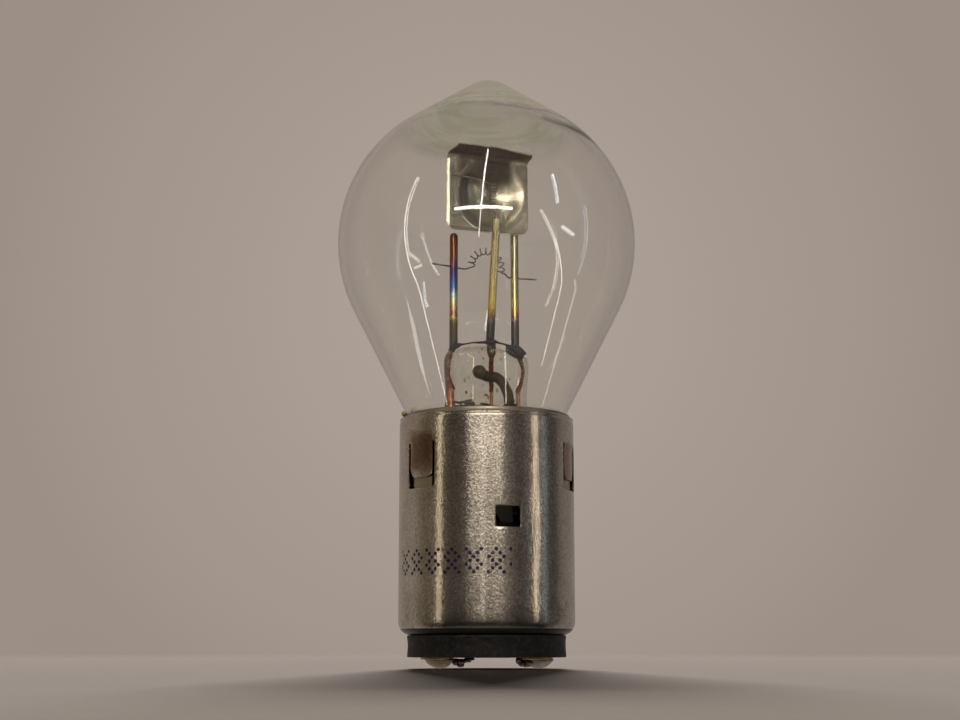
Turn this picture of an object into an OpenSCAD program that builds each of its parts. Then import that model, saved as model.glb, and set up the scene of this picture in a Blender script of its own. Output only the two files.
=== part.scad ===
// Headlight bulb with two filaments, a clear glass envelope and a 20 mm double-contact cap.
// Millimetres. +Z runs along the lamp axis, from the contact tips at z = 0 to the glass tip.
// Angles around the cap are counted from the front, which faces -Y, towards +X.

/* [Cap] */
// Outside diameter of the cap shell
cap_d = 20; // [19.8:0.05:20.1]
// Height of the shell's upper rim
rim_z = 28.1; // [27.8:0.1:28.4]
// Height of the shell's foot
foot_z = 3.7; // [3.6:0.05:3.9]
// Outside radius of the shell's lower corner
foot_round = 1.5; // [1:0.1:2]
// Sheet thickness of the shell and the ferrule
sheet_t = 0.3; // [0.25:0.05:0.3]
// Angle of the first weld tongue, the other two follow every 120 degrees
tongue_angle = -48; // [-55:1:-40]
// Angle of the front catch window, the other two follow every 120 degrees
catch_angle = 13.5; // [8:0.5:20]

/* [Foot] */
// Diameter of the insulator plate
insulator_d = 17.9; // [17.5:0.1:18.1]
// Thickness of the plate below the shell
insulator_t = 2.35; // [2:0.05:2.4]
// Distance between the two contact eyelets
contact_pitch = 11.1; // [10.5:0.1:11.5]

/* [Glass] */
// Largest diameter of the envelope
bulb_d = 34.8; // [34:0.1:36]
// Height of the envelope's widest point
bulb_z = 49; // [48:0.1:50]
// Height of the glass tip, which is the overall length
tip_z = 69.1; // [68.5:0.1:69.4]
// Angle between the lower cone and the axis
lower_cone = 27; // [26:0.5:28]
// Angle between the upper cone and the axis
upper_cone = 56.5; // [56:0.5:58]
// Diameter of the neck inside the cap
neck_d = 14; // [13.6:0.1:14.2]
// Wall thickness of the envelope
glass_t = 0.7; // [0.5:0.05:0.8]

/* [Mount] */
// Turn of the stem, posts and shield about the lamp axis
mount_yaw = 20; // [10:1:25]
// Diameter of the three posts
post_d = 0.95; // [0.8:0.05:1]
// Height of the top of the glass press
press_top_z = 37.2; // [37:0.1:37.5]
// Width of the beam shield
shield_w = 10.15; // [10:0.05:10.3]
// Turns in the high-beam filament
high_turns = 11; // [8:1:13]
// Turns in the low-beam filament
low_turns = 8; // [6:1:9]

/* [Hidden] */
$fn = 96;
gap = 0.02;            // clearance between pieces that are sealed or pressed together
cap_r = cap_d / 2;
cap_in_r = cap_r - sheet_t;

// weld tongues and catch windows in the shell
tongue_window = [4.5, 19.7, 24.8];    // width, lower and upper height
tongue = [3.75, 20.9, 25.2];
tongue_sink = 0.06;                   // how far a tongue sits below the shell's surface
catch_window = [2.8, 15.2, 17.5];
catch_lip = [2.4, 0.9, 38];           // width, length and inward lean

// ferrule and cement
ferrule_r = cap_in_r - 0.1;
ferrule_foot_z = 18;
ferrule_rim_z = rim_z + 0.4;
cement_foot_z = 18.7;
cement_top_z = 27;

// foot of the cap
plate_foot_z = foot_z - 0.1 - insulator_t;
spigot_r = 7.4;
spigot_top_z = 6.5;
eyelet_r = 1.05;
eyelet_t = 0.3;
eyelet_flange_r = 1.9;
dot_r = 1.72;
dot_h = plate_foot_z - 0.25;
dot_shift = 0.28;                     // both solder domes sit a little to the right

// glass
bulb_r = bulb_d / 2;
neck_r = neck_d / 2;
neck_foot_z = 18.6;
tip_apex_z = bulb_z + bulb_r / sin(upper_cone);
tip_r = (tip_apex_z - tip_z) / (1 / sin(upper_cone) - 1);
tip_centre_z = tip_apex_z - tip_r / sin(upper_cone);
stem_r = 4.95;
stem_t = 0.6;
press_t = 3.6;
press_arch_r = 11.3;

// electrical mount, as [along the press, depth, height]; negative depth is the front
post_r = post_d / 2;
seal_r = 0.3;
lead_r = 0.2;
high_post = [[-4.05, 0, 36], [-4.05, 0, 49.6]];
low_post = [[0.37, 0, 36], [0.37, -2.4, 51.4]];
common_post = [[3.6, 0, 36], [3.75, 0.55, 49.8], [3.75, 0.55, 52]];
seal_foot_z = 31.6;
exhaust_axis = [2.2, 1.2];
exhaust_r = 1.4;
exhaust_top_z = 25.4;
vent = [[-0.85, -3, 34], [-0.6, 0.3, 33.9], [2.2, 1.2, 25.5]];
vent_r = 0.6;

// beam shield
sheet_shield = 0.25;
shield_u = 0.1;
shield_front_v = -0.2;
shield_foot_z = 50.5;
shield_fold_z = 59.5;
flap = [-1.4, 1.0];                   // reach towards the front and rise
dish_u = 0.37;
dish_v = -4.9;
dish_z = 55.05;
dish_r = 6.2;
dish_h = 6.75;

// filaments
filament_r = 0.075;
filament_sides = 6;
points_per_turn = 10;
arch = [0.05, 0.15, 46.4];            // centre of the high-beam arch
arch_r = 1.85;
arch_span = [185, -22];
high_coil_r = 0.4;
low_coil = [0.3, -1.4, 53.2];
low_coil_h = 2.9;
low_coil_r = 0.36;

// ---- shared shapes ----

// points of an arc, in the plane of an outline
function arc(centre, r, from, to, n = 16) =
    [for (i = [0:n]) let (a = from + (to - from) * i / n) centre + r * [cos(a), sin(a)]];

// turns a point of the mount about the lamp axis
function yawed(p) =
    [p[0] * cos(mount_yaw) - p[1] * sin(mount_yaw), p[0] * sin(mount_yaw) + p[1] * cos(mount_yaw), p[2]];

function unit(v) = v / norm(v);

module rounded_rect(w, h, r) {
    polygon(concat(arc([w - r, h - r], r, 0, 90, 6), arc([r, h - r], r, 90, 180, 6),
                   arc([r, r], r, 180, 270, 6), arc([w - r, r], r, 270, 360, 6)));
}

// a round bar from a to b
module bar(a, b, r) {
    d = b - a;
    translate(a)
        rotate([0, acos(d[2] / norm(d)), atan2(d[1], d[0])])
            cylinder(h = norm(d), r = r);
}

// a round wire through a list of points, with a slightly larger ball at each bend
module wire(points, r) {
    for (i = [1:len(points) - 1]) bar(points[i - 1], points[i], r);
    if (len(points) > 2) for (i = [1:len(points) - 2]) translate(points[i]) sphere(1.05 * r);
}

// the same, in the turned frame of the mount
module mount_wire(points, r) wire([for (p = points) yawed(p)], r);

// a window's outline pushed out through the wall at one angle
module wall_cut(angle, size, r) {
    rotate([0, 0, angle]) rotate([90, 0, 0]) translate([-size[0] / 2, size[1], 0])
        linear_extrude(cap_r + 1) rounded_rect(size[0], size[2] - size[1], r);
}

module tube_ring(r_out, r_in, z0, z1) {
    rotate_extrude() translate([r_in, z0]) square([r_out - r_in, z1 - z0]);
}

// a thin round wire swept along rows of [point, side direction]
module swept(rows, r, sides) {
    n = len(rows);
    function tangent(i) = unit(rows[min(i + 1, n - 1)][0] - rows[max(i - 1, 0)][0]);
    rings = [for (i = [0:n - 1])
        let (t = tangent(i), side = unit(cross(rows[i][1], t)), up = cross(t, side))
        for (k = [0:sides - 1])
            rows[i][0] + r * (side * cos(360 * k / sides) + up * sin(360 * k / sides))];
    walls = [for (i = [0:n - 2], k = [0:sides - 1])
        let (a = i * sides + k, b = i * sides + (k + 1) % sides)
        [a, b, b + sides, a + sides]];
    foot = [for (k = [sides - 1:-1:0]) k];
    head = [for (k = [0:sides - 1]) (n - 1) * sides + k];
    polyhedron(rings, concat(walls, [foot, head]));
}

// ---- glass ----

module glass_bulb() color("azure", 0.3) {
    low = -lower_cone;
    high = upper_cone;
    in_r = bulb_r - glass_t;
    cone_foot = [neck_r, bulb_z + bulb_r * sin(low) - (bulb_r * cos(low) - neck_r) / tan(lower_cone)];
    in_cone_foot = [neck_r - glass_t,
                    bulb_z + in_r * sin(low) - (in_r * cos(low) - neck_r + glass_t) / tan(lower_cone)];
    rotate_extrude() polygon(concat(
        [[neck_r, neck_foot_z], cone_foot],
        arc([0, bulb_z], bulb_r, low, high, 24),
        arc([0, tip_centre_z], tip_r, high, 90, 10),
        arc([0, bulb_z], in_r, 90, low, 36),
        [in_cone_foot, [neck_r - glass_t, neck_foot_z]]));
}

// what lies above the press's arched top edge, as [along, height]
module above_press(lift) {
    difference() {
        translate([-2 * stem_r, 33]) square([4 * stem_r, 7]);
        translate([0, press_top_z - press_arch_r]) circle(press_arch_r + lift);
    }
}

// what the pinch takes away on the back of the round tube, as [depth, height]
module pinch_cut() {
    half = press_t / 2;
    polygon(concat([[stem_r + 0.5, 24.9], [half + 1.4, 27.4], [half + 0.35, 28.4], [half, 29.6]],
                   arc([half - 1, press_top_z - 0.8], 1, 0, 90, 6),
                   [[half - 1, 40], [3 * stem_r, 40], [3 * stem_r, 24.9]]));
}

module stem_press() color("lightcyan", 0.4) {
    difference() {
        rotate_extrude() polygon([[0, 38], [stem_r, 38], [stem_r, 21], [5.6, 19.4],
            [neck_r, neck_foot_z - gap], [neck_r, 17.9], [neck_r - stem_t, 17.9], [5, 19],
            [stem_r - stem_t, 21], [stem_r - stem_t, 25.6], [1.6, 27.4], [0, 27.4]]);
        rotate([0, 0, mount_yaw]) {
            rotate([90, 0, 0]) linear_extrude(3 * stem_r, center = true) above_press(0);
            for (side = [0, 180])
                rotate([0, 0, side]) rotate([90, 0, 90]) linear_extrude(3 * stem_r, center = true) pinch_cut();
        }
        for (post = [high_post, low_post, common_post]) {
            mount_wire([post[0] - [0, 0, gap], post[1]], post_r + gap);
            translate(yawed(post[0] - [0, 0, 12])) cylinder(h = 12.2, r = seal_r + gap);
        }
        mount_wire(vent, vent_r);
    }
}

module exhaust_tube() color("lightcyan", 0.5) {
    foot = 11;
    translate(yawed([exhaust_axis[0], exhaust_axis[1], 0])) rotate_extrude() polygon(concat(
        [[exhaust_r - 0.5, exhaust_top_z], [exhaust_r, exhaust_top_z]],
        arc([0, foot + exhaust_r], exhaust_r, 0, -90, 6),
        arc([0, foot + exhaust_r + 0.6], exhaust_r - 0.5, -90, 0, 6)));
}

module getter_coating() color("dimgray") {
    rotate([0, 0, mount_yaw]) difference() {
        intersection() {
            rotate([90, 0, 0]) linear_extrude(2.4, center = true) difference() {
                above_press(gap);
                above_press(0.3);
            }
            translate([0, 0, 30]) cylinder(h = 10, r = stem_r - 0.3);
        }
        for (post = [high_post, low_post, common_post])
            wire([post[0], post[1]], post_r + gap);
    }
}

// ---- posts, wires and filaments ----

module round_post(points) {
    mount_wire(points, post_r);
    translate(yawed(points[len(points) - 1])) sphere(post_r);
}

module high_beam_post() color("slateblue") round_post(high_post);

module low_beam_post() color("darkkhaki") round_post(low_post);

module common_post() color("darkkhaki") round_post(common_post);

// the copper-clad wire in the press, below a post
module seal_wire(post)
    translate([0, 0, seal_foot_z - post[0][2]]) translate(yawed(post[0]))
        cylinder(h = post[0][2] - seal_foot_z - gap, r = seal_r);

module high_seal_wire() color("sienna") seal_wire(high_post);

module low_seal_wire() color("firebrick") seal_wire(low_post);

module common_seal_wire() color("sienna") seal_wire(common_post);

// the thin copper lead that goes on below a seal wire: straight down, then along its route
module lead(post, route) {
    foot = yawed(post[0]);
    start = [foot[0], foot[1], seal_foot_z - gap];
    across = cross([0, 0, 1], route[0] - [start[0], start[1], route[0][2]]);
    points = concat([start, [start[0], start[1], 18], [start[0], start[1], 17.4]], route);
    swept([for (p = points) [p, across]], lead_r, 8);
}

module high_lead_wire() color("peru")
    lead(high_post, [[-contact_pitch / 2, 0, 9.3], [-contact_pitch / 2, 0, 8.7], [-contact_pitch / 2, 0, 2.7]]);

module low_lead_wire() color("peru")
    lead(low_post, [[contact_pitch / 2, 0, 9.3], [contact_pitch / 2, 0, 8.7], [contact_pitch / 2, 0, 2.7]]);

module common_lead_wire() color("peru")
    lead(common_post, [[4.6, 1.67, 16.8], [8.3, 3.02, 16.8], [8.7, 3.17, 17], [8.85, 3.22, 17.75]]);

module high_beam_filament() color("gray") {
    back = arch[1] + high_coil_r;
    front = arch[1] - high_coil_r;
    turn = 360 * (high_turns - 0.5);
    n = round((high_turns - 0.5) * points_per_turn);
    coil = [for (i = [0:n]) let (
        beta = arch_span[0] + (arch_span[1] - arch_span[0]) * i / n,
        phi = 90 + turn * i / n,
        out = [cos(beta), 0, sin(beta)],
        centre = arch + arch_r * out)
        [centre + high_coil_r * (out * cos(phi) + [0, 1, 0] * sin(phi)), [sin(beta), 0, -cos(beta)]]];
    up = [0, 0, 1];
    rotate([0, 0, mount_yaw]) swept(concat(
        [[[-6.4, post_r + 0.12, 46.3], up], [[-3.4, post_r + 0.12, 46.1], up], [[-2.3, back, 45.95], up]],
        coil,
        [[[2.3, front, 45.6], -up], [[3.1, 1.05, 45.5], -up], [[6.7, 1.05, 45.5], -up]]),
        filament_r, filament_sides);
}

module low_beam_filament() color("gray") {
    turn = 360 * low_turns;
    n = low_turns * points_per_turn;
    coil = [for (i = [0:n]) let (phi = 90 - turn * i / n)
        [low_coil + [low_coil_r * cos(phi), low_coil_r * sin(phi), low_coil_h * (1 - i / n)], [0, 0, -1]]];
    rotate([0, 0, mount_yaw]) swept(concat(
        [[[-4.5, shield_front_v - 0.12, 57.1], [0, 0, -1]], [[-3.9, shield_front_v - 0.12, 57.0], [0, 0, -1]],
         [[-0.3, low_coil[1] + low_coil_r, 56.15], [0, 0, -1]]],
        coil,
        [[[0.75, low_coil[1] + low_coil_r - 0.05, 52.9], [-1, 0, -1]],
         [[0.55, -1.72, 52.3], [-1, 0, 0]],
         [[0.4, -1.72, 51.2], [-1, 0, 0]]]),
        filament_r, filament_sides);
}

// half of the dish's outline: an oval that turns about the height
module dish_solid(grow) {
    translate([dish_u, dish_v, dish_z])
        rotate_extrude() polygon([for (i = [0:24]) let (a = -90 + 180 * i / 24)
            [(dish_r + grow) * cos(a), (dish_h + grow) * sin(a)]]);
}

module beam_shield() color("rosybrown") {
    left = shield_u - shield_w / 2;
    back_v = shield_front_v + sheet_shield;
    rotate([0, 0, mount_yaw]) {
        difference() {
            union() {
                translate([left, back_v, 0]) rotate([90, 0, 0]) linear_extrude(sheet_shield)
                    translate([0, shield_foot_z]) {
                        rounded_rect(shield_w, 6, 1.1);
                        translate([0, 3]) square([shield_w, shield_fold_z - shield_foot_z - 3]);
                    }
                intersection() {
                    dish_solid(sheet_shield / 2);
                    translate([left, shield_front_v, shield_foot_z]) cube([shield_w, 6, 9]);
                }
            }
            dish_solid(-sheet_shield / 2);
        }
        translate([left, 0, shield_fold_z]) rotate([90, 0, 90]) linear_extrude(shield_w)
            polygon([[shield_front_v, -0.05], [back_v, -0.05], [back_v, 0.1],
                     [back_v + flap[0], flap[1] + 0.22], [shield_front_v + flap[0], flap[1]]]);
    }
}

// ---- cap ----

module cap_shell() color("silver") {
    rim_round = 0.12;
    difference() {
        rotate_extrude() polygon(concat(
            [[spigot_r + 0.1, foot_z]],
            arc([cap_r - foot_round, foot_z + foot_round], foot_round, -90, 0, 10),
            arc([cap_r - rim_round, rim_z - rim_round], rim_round, 0, 90, 4),
            [[cap_in_r, rim_z]],
            arc([cap_r - foot_round, foot_z + foot_round], foot_round - sheet_t, 0, -90, 10),
            [[spigot_r + 0.1, foot_z + sheet_t]]));
        for (i = [0:2]) {
            wall_cut(tongue_angle + 120 * i, tongue_window, 0.5);
            wall_cut(catch_angle + 120 * i, catch_window, 0.15);
        }
    }
    for (i = [0:2]) intersection() {
        tube_ring(cap_r - tongue_sink, cap_in_r - tongue_sink, tongue[1], tongue[2]);
        wall_cut(tongue_angle + 120 * i, tongue, 0.9);
    }
    for (i = [0:2]) rotate([0, 0, catch_angle + 120 * i])
        translate([-catch_lip[0] / 2, -cap_r + 0.12, catch_window[1] - 0.1]) rotate([-catch_lip[2], 0, 0])
            cube([catch_lip[0], 0.18, catch_lip[1]]);
}

module inner_ferrule() color("goldenrod")
    tube_ring(ferrule_r, ferrule_r - sheet_t, ferrule_foot_z, ferrule_rim_z);

module basing_cement() color("tan") {
    out_r = ferrule_r - sheet_t - gap;
    rotate_extrude() polygon([[neck_r + gap, cement_foot_z], [out_r, cement_foot_z],
        [out_r, cement_top_z], [8.45, cement_top_z], [neck_r + gap, 24.1]]);
}

module contact_holes(r) {
    for (x = [-contact_pitch / 2, contact_pitch / 2])
        translate([x, 0, 0]) cylinder(h = 10, r = r);
}

module insulator_plate() color([0.1, 0.1, 0.11]) {
    r = insulator_d / 2;
    top_z = foot_z - gap;
    difference() {
        rotate_extrude() polygon([[0, plate_foot_z], [r - 0.15, plate_foot_z], [r, plate_foot_z + 0.15],
            [r, top_z - 0.1], [r - 0.1, top_z], [spigot_r, top_z], [spigot_r, spigot_top_z],
            [0, spigot_top_z]]);
        contact_holes(eyelet_r + gap);
    }
}

module contact_eyelet(x) {
    in_r = eyelet_r - eyelet_t;
    translate([x, 0, 0]) rotate_extrude() polygon([[in_r, plate_foot_z - 0.25],
        [eyelet_flange_r, plate_foot_z - 0.25], [eyelet_flange_r, plate_foot_z], [eyelet_r, plate_foot_z],
        [eyelet_r, spigot_top_z], [1.5, spigot_top_z], [1.5, spigot_top_z + 0.25],
        [in_r, spigot_top_z + 0.25]]);
}

module contact_eyelet_high() color("goldenrod") contact_eyelet(-contact_pitch / 2);

module contact_eyelet_low() color("goldenrod") contact_eyelet(contact_pitch / 2);

// solder dome under an eyelet, with the plug that fills the eyelet's bore
module solder_dot(x) {
    ball_r = (dot_r * dot_r + dot_h * dot_h) / (2 * dot_h);
    translate([x + dot_shift, 0, 0]) intersection() {
        translate([0, 0, ball_r]) sphere(ball_r);
        cylinder(h = dot_h, r = dot_r + 1);
    }
    translate([x, 0, dot_h / 2]) cylinder(h = 2.6 - dot_h / 2, r = eyelet_r - eyelet_t - gap);
}

module solder_dot_high() color("khaki") solder_dot(-contact_pitch / 2);

module solder_dot_low() color("khaki") solder_dot(contact_pitch / 2);

module ground_solder() color("darkkhaki") {
    rotate([0, 0, -77]) translate([0, -cap_in_r - 0.02, ferrule_rim_z + gap]) intersection() {
        union() {
            sphere(0.36);
            translate([0.55, 0.05, -0.05]) sphere(0.26);
        }
        translate([-2, -2, 0]) cube(4);
    }
}

glass_bulb();
stem_press();
exhaust_tube();
getter_coating();
high_beam_post();
low_beam_post();
common_post();
high_seal_wire();
low_seal_wire();
common_seal_wire();
high_lead_wire();
low_lead_wire();
common_lead_wire();
high_beam_filament();
low_beam_filament();
beam_shield();
cap_shell();
inner_ferrule();
basing_cement();
insulator_plate();
contact_eyelet_high();
contact_eyelet_low();
solder_dot_high();
solder_dot_low();
ground_solder();
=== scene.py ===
"""Looks of the headlight bulb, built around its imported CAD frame. Lengths are mm until they reach Blender."""

import math

import bmesh
import bpy
import numpy as np
from mathutils import Matrix, Vector, geometry, noise

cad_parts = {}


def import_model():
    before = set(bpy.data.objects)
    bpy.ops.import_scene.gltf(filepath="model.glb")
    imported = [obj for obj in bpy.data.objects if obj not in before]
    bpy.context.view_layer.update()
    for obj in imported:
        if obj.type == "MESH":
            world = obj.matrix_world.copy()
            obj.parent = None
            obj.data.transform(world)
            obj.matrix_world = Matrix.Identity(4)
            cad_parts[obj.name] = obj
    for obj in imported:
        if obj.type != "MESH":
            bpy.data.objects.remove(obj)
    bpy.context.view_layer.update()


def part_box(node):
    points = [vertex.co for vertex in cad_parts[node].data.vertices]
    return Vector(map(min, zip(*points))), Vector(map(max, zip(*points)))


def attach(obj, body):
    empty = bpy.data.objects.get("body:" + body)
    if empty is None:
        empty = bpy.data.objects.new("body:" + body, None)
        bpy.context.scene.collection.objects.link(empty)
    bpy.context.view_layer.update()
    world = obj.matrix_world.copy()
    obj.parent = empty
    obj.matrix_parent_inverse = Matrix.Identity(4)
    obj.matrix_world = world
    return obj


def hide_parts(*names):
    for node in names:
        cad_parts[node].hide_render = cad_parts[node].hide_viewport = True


MM = 0.001
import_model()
scene = bpy.context.scene


def top(node):
    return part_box(node)[1][2] / MM


def foot(node):
    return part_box(node)[0][2] / MM


# ---- sizes

CAP_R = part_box("cap_shell")[1][0] / MM
RIM_Z, FOOT_Z, FOOT_ROUND, WALL_SHEET = top("cap_shell"), foot("cap_shell"), 1.5, 0.28
BULB_R, BULB_Z, TIP_Z, WALL = 17.4, 49.0, top("glass_bulb"), 0.7
LOWER_CONE, UPPER_CONE, NECK_R, NECK_FOOT = 27.0, 56.5, 7.0, foot("glass_bulb")
STEM_R, PRESS_TOP, PRESS_ARCH = 4.95, 37.2, 11.3
YAW = math.radians(20)
PLATE_R, PLATE_FOOT = 8.95, foot("insulator_plate")


def yawed(p):
    """A point of the mount, (along the press, depth, height), in the row frame."""
    u, v, z = p
    return (u * math.cos(YAW) - v * math.sin(YAW), u * math.sin(YAW) + v * math.cos(YAW), z)


def on_cap(angle, r, z):
    """A point at an angle counted from the front towards +X."""
    a = math.radians(angle)
    return (r * math.sin(a), -r * math.cos(a), z)


def smooth(x, a, b):
    t = min(max((x - a) / (b - a), 0.0), 1.0)
    return t * t * (3 - 2 * t)


def bell(x, centre, width):
    return math.exp(-(((x - centre) / width) ** 2))


def wobble(p, size, seed=0.0):
    """Smooth noise of a point in mm, about -1 to 1, with features of the given size."""
    return noise.noise(Vector((p[0] / size + seed, p[1] / size - seed, p[2] / size + 2 * seed)))


# ---- mesh makers

class Shape:
    """Verts in mm, faces and their material numbers, gathered before they become one object."""

    def __init__(self):
        self.verts, self.faces, self.mats = [], [], []

    def grid(self, rows, wrap=True, close=False, mat=0):
        """Rows of points joined into quads. wrap joins each row's ends, close the last row to the first."""
        base, n, m = len(self.verts), len(rows), len(rows[0])
        self.verts += [tuple(p) for row in rows for p in row]
        for i in range(n if close else n - 1):
            for j in range(m if wrap else m - 1):
                a, b = i, (i + 1) % n
                c, d = j, (j + 1) % m
                self.faces.append(tuple(base + r * m + k for r, k in ((a, c), (a, d), (b, d), (b, c))))
                self.mats.append(mat)
        return self

    def lathe(self, profile, segments=128, close=False, warp=None, mat=0):
        """Turns (radius, height) pairs round the axis. warp may move each point."""
        rows = [[warp(p) if warp else p for p in circle(r, z, segments)] for r, z in profile]
        return self.grid(rows, close=close, mat=mat)

    def tube(self, points, radii, sides=14, mat=0, rough=0.0, grain=0.5):
        """A round bar along points, with rounded ends. rough is how far its surface wanders, in mm."""
        p = np.array(points, float)
        r = np.full(len(p), radii) if np.isscalar(radii) else np.array(radii, float)
        t = np.gradient(p, axis=0)
        t /= np.linalg.norm(t, axis=1)[:, None]
        turns = [math.radians(a) for a in (20, 40, 60, 78, 90)]
        head = [(p[0] - t[0] * r[0] * math.sin(a), r[0] * math.cos(a), t[0]) for a in reversed(turns)]
        tail = [(p[-1] + t[-1] * r[-1] * math.sin(a), r[-1] * math.cos(a), t[-1]) for a in turns]
        rings = head + list(zip(p, r, t)) + tail
        side = np.cross(rings[0][2], (0.31, 0.22, 0.92))
        rows = []
        for centre, radius, axis in rings:
            side = side - axis * (side @ axis)
            side /= np.linalg.norm(side)
            up = np.cross(axis, side)
            row = []
            for k in range(sides):
                a = 2 * math.pi * k / sides
                q = centre + radius * (side * math.cos(a) + up * math.sin(a))
                if rough and radius > 1e-6:
                    q = q + (q - centre) / radius * rough * wobble(q, grain)
                row.append(q)
            rows.append(row)
        return self.grid(rows, mat=mat)

    def make(self, name, materials, sharp=None):
        mesh = bpy.data.meshes.new(name)
        mesh.from_pydata([tuple(MM * c for c in v) for v in self.verts], [], self.faces)
        for m in materials:
            mesh.materials.append(m)
        mesh.polygons.foreach_set("material_index", self.mats)
        bm = bmesh.new()
        bm.from_mesh(mesh)
        bmesh.ops.remove_doubles(bm, verts=bm.verts, dist=1e-7)
        bmesh.ops.dissolve_degenerate(bm, edges=bm.edges, dist=1e-8)
        bmesh.ops.recalc_face_normals(bm, faces=bm.faces)
        shade(bm, sharp)
        bm.to_mesh(mesh)
        bm.free()
        obj = bpy.data.objects.new(name, mesh)
        scene.collection.objects.link(obj)
        return obj


def shade(bm, sharp):
    """Smooth faces, with a hard line where they turn by more than sharp degrees."""
    for f in bm.faces:
        f.smooth = True
    for e in bm.edges:
        turned = len(e.link_faces) == 2 and e.calc_face_angle(0.0)
        e.smooth = not (sharp and turned and turned > math.radians(sharp))


def piece(obj, slot, *nodes):
    """Hands a finished object to the frame: it rides on the only body and stands for its CAD nodes."""
    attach(obj, "root")
    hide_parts(*nodes)
    return obj


def spline(points, steps=12):
    """Catmull-Rom curve through points of any length of tuple."""
    p = np.array(points, float)
    p = np.vstack([2 * p[0] - p[1], p, 2 * p[-1] - p[-2]])
    out = []
    for i in range(1, len(p) - 2):
        for k in range(steps):
            t = k / steps
            out.append(0.5 * ((2 * p[i]) + (-p[i - 1] + p[i + 1]) * t
                              + (2 * p[i - 1] - 5 * p[i] + 4 * p[i + 1] - p[i + 2]) * t ** 2
                              + (-p[i - 1] + 3 * p[i] - 3 * p[i + 1] + p[i + 2]) * t ** 3))
    out.append(p[-2])
    return np.array(out)


def arc(centre, r, start, end, n):
    angles = [math.radians(start + (end - start) * i / n) for i in range(n + 1)]
    return [(centre[0] + r * math.cos(a), centre[1] + r * math.sin(a)) for a in angles]


def circle(r, z, n):
    """A ring of n points round the axis."""
    angles = [2 * math.pi * j / n for j in range(n)]
    return [(r * math.cos(a), r * math.sin(a), z) for a in angles]


def straight(a, b, n):
    """n evenly spaced points from a towards b, without b."""
    return [tuple(p + (q - p) * k / n for p, q in zip(a, b)) for k in range(n)]


# ---- materials

def rgba(colour):
    """A colour or a grey with its alpha. A socket stays as it is."""
    if isinstance(colour, tuple):
        return (*colour, 1.0)
    return (colour, colour, colour, 1.0) if np.isscalar(colour) else colour


class Nodes:
    """Short forms for building the node tree of a new material or of a world.

    x, y and z are a point in mm, or in a world the direction looked in.
    """

    def __init__(self, name, world=None):
        self.owner = world or bpy.data.materials.new(name)
        self.owner.use_nodes = True
        self.tree = self.owner.node_tree
        self.tree.nodes.clear()
        place = self.add("TexCoord").outputs["Generated" if world else "Object"]
        self.place = place if world else self.vector("MULTIPLY", place, (1000, 1000, 1000))
        self.x, self.y, self.z = self.add("SeparateXYZ", {0: self.place}).outputs

    def around_axis(self):
        """The angle in degrees from the front towards +X."""
        return self.times(self.math("ARCTAN2", self.x, self.times(self.y, -1.0)), 180 / math.pi)

    def radius(self):
        return self.math("SQRT", self.plus(self.times(self.x, self.x), self.times(self.y, self.y)))

    def add(self, kind, inputs=None, **props):
        node = self.tree.nodes.new("ShaderNode" + kind)
        for key, value in props.items():
            setattr(node, key, value)
        for key, value in (inputs or {}).items():
            if isinstance(value, bpy.types.NodeSocket):
                self.tree.links.new(value, node.inputs[key])
            elif value is not None:
                node.inputs[key].default_value = value
        return node

    def math(self, operation, a, b=None, c=None):
        return self.add("Math", {0: a, 1: b, 2: c}, operation=operation).outputs[0]

    def times(self, first, *others):
        for other in others:
            first = self.math("MULTIPLY", first, other)
        return first

    def plus(self, a, b):
        return self.math("ADD", a, b)

    def minus(self, a, b):
        return self.math("SUBTRACT", a, b)

    def vector(self, operation, a, b=None):
        return self.add("VectorMath", {0: a, 1: b}, operation=operation).outputs[0]

    def noise(self, scale, detail=2.0, rough=0.5, place=None, kind="Fac"):
        """Noise whose scale counts features per mm."""
        node = self.add("TexNoise", {"Vector": place or self.place, "Scale": scale, "Detail": detail,
                                     "Roughness": rough})
        return node.outputs[kind]

    def span(self, value, lo, hi, a=0.0, b=1.0):
        inputs = {"Value": value, "From Min": lo, "From Max": hi, "To Min": a, "To Max": b}
        return self.add("MapRange", inputs, interpolation_type="SMOOTHSTEP").outputs["Result"]

    def band(self, value, lo, hi, soft):
        """1 between lo and hi, fading out over soft on both sides of each."""
        rise = self.span(value, lo - soft, lo + soft)
        return self.times(rise, self.span(value, hi - soft, hi + soft, 1.0, 0.0))

    def ramp(self, value, stops):
        node = self.add("ValToRGB", {"Fac": value})
        e = node.color_ramp.elements
        while len(e) < len(stops):
            e.new(0.5)
        for i, (at, colour) in enumerate(stops):
            e[i].position = at
        for i, (at, colour) in enumerate(stops):
            e[i].color = rgba(colour)
        return node.outputs["Color"]

    def mix(self, fac, a, b):
        return self.add("Mix", {0: fac, 6: rgba(a), 7: rgba(b)}, data_type="RGBA").outputs[2]

    def mix_shaders(self, fac, a, b):
        return self.add("MixShader", {0: fac, 1: a, 2: b}).outputs[0]

    def clear(self, colour):
        return self.add("BsdfTransparent", {"Color": rgba(colour)}).outputs[0]

    def bump(self, height, distance, strength=1.0):
        inputs = {"Height": height, "Distance": distance * MM, "Strength": strength}
        return self.add("Bump", inputs).outputs["Normal"]

    def finish(self, shader, kind="OutputMaterial"):
        self.add(kind, {"Surface": shader})
        return self.owner

    def surface(self, colour, rough, metal=0.0, normal=None, **extra):
        inputs = {"Base Color": rgba(colour), "Roughness": rough, "Metallic": metal, "Normal": normal}
        inputs.update({k.replace("_", " "): v for k, v in extra.items()})
        return self.add("BsdfPrincipled", inputs).outputs["BSDF"]


def shadow_free(n, shader, tint):
    """Lets light through to what lies behind glass, coloured by tint."""
    return n.mix_shaders(n.add("LightPath").outputs["Is Shadow Ray"], shader, n.clear(tint))


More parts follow.
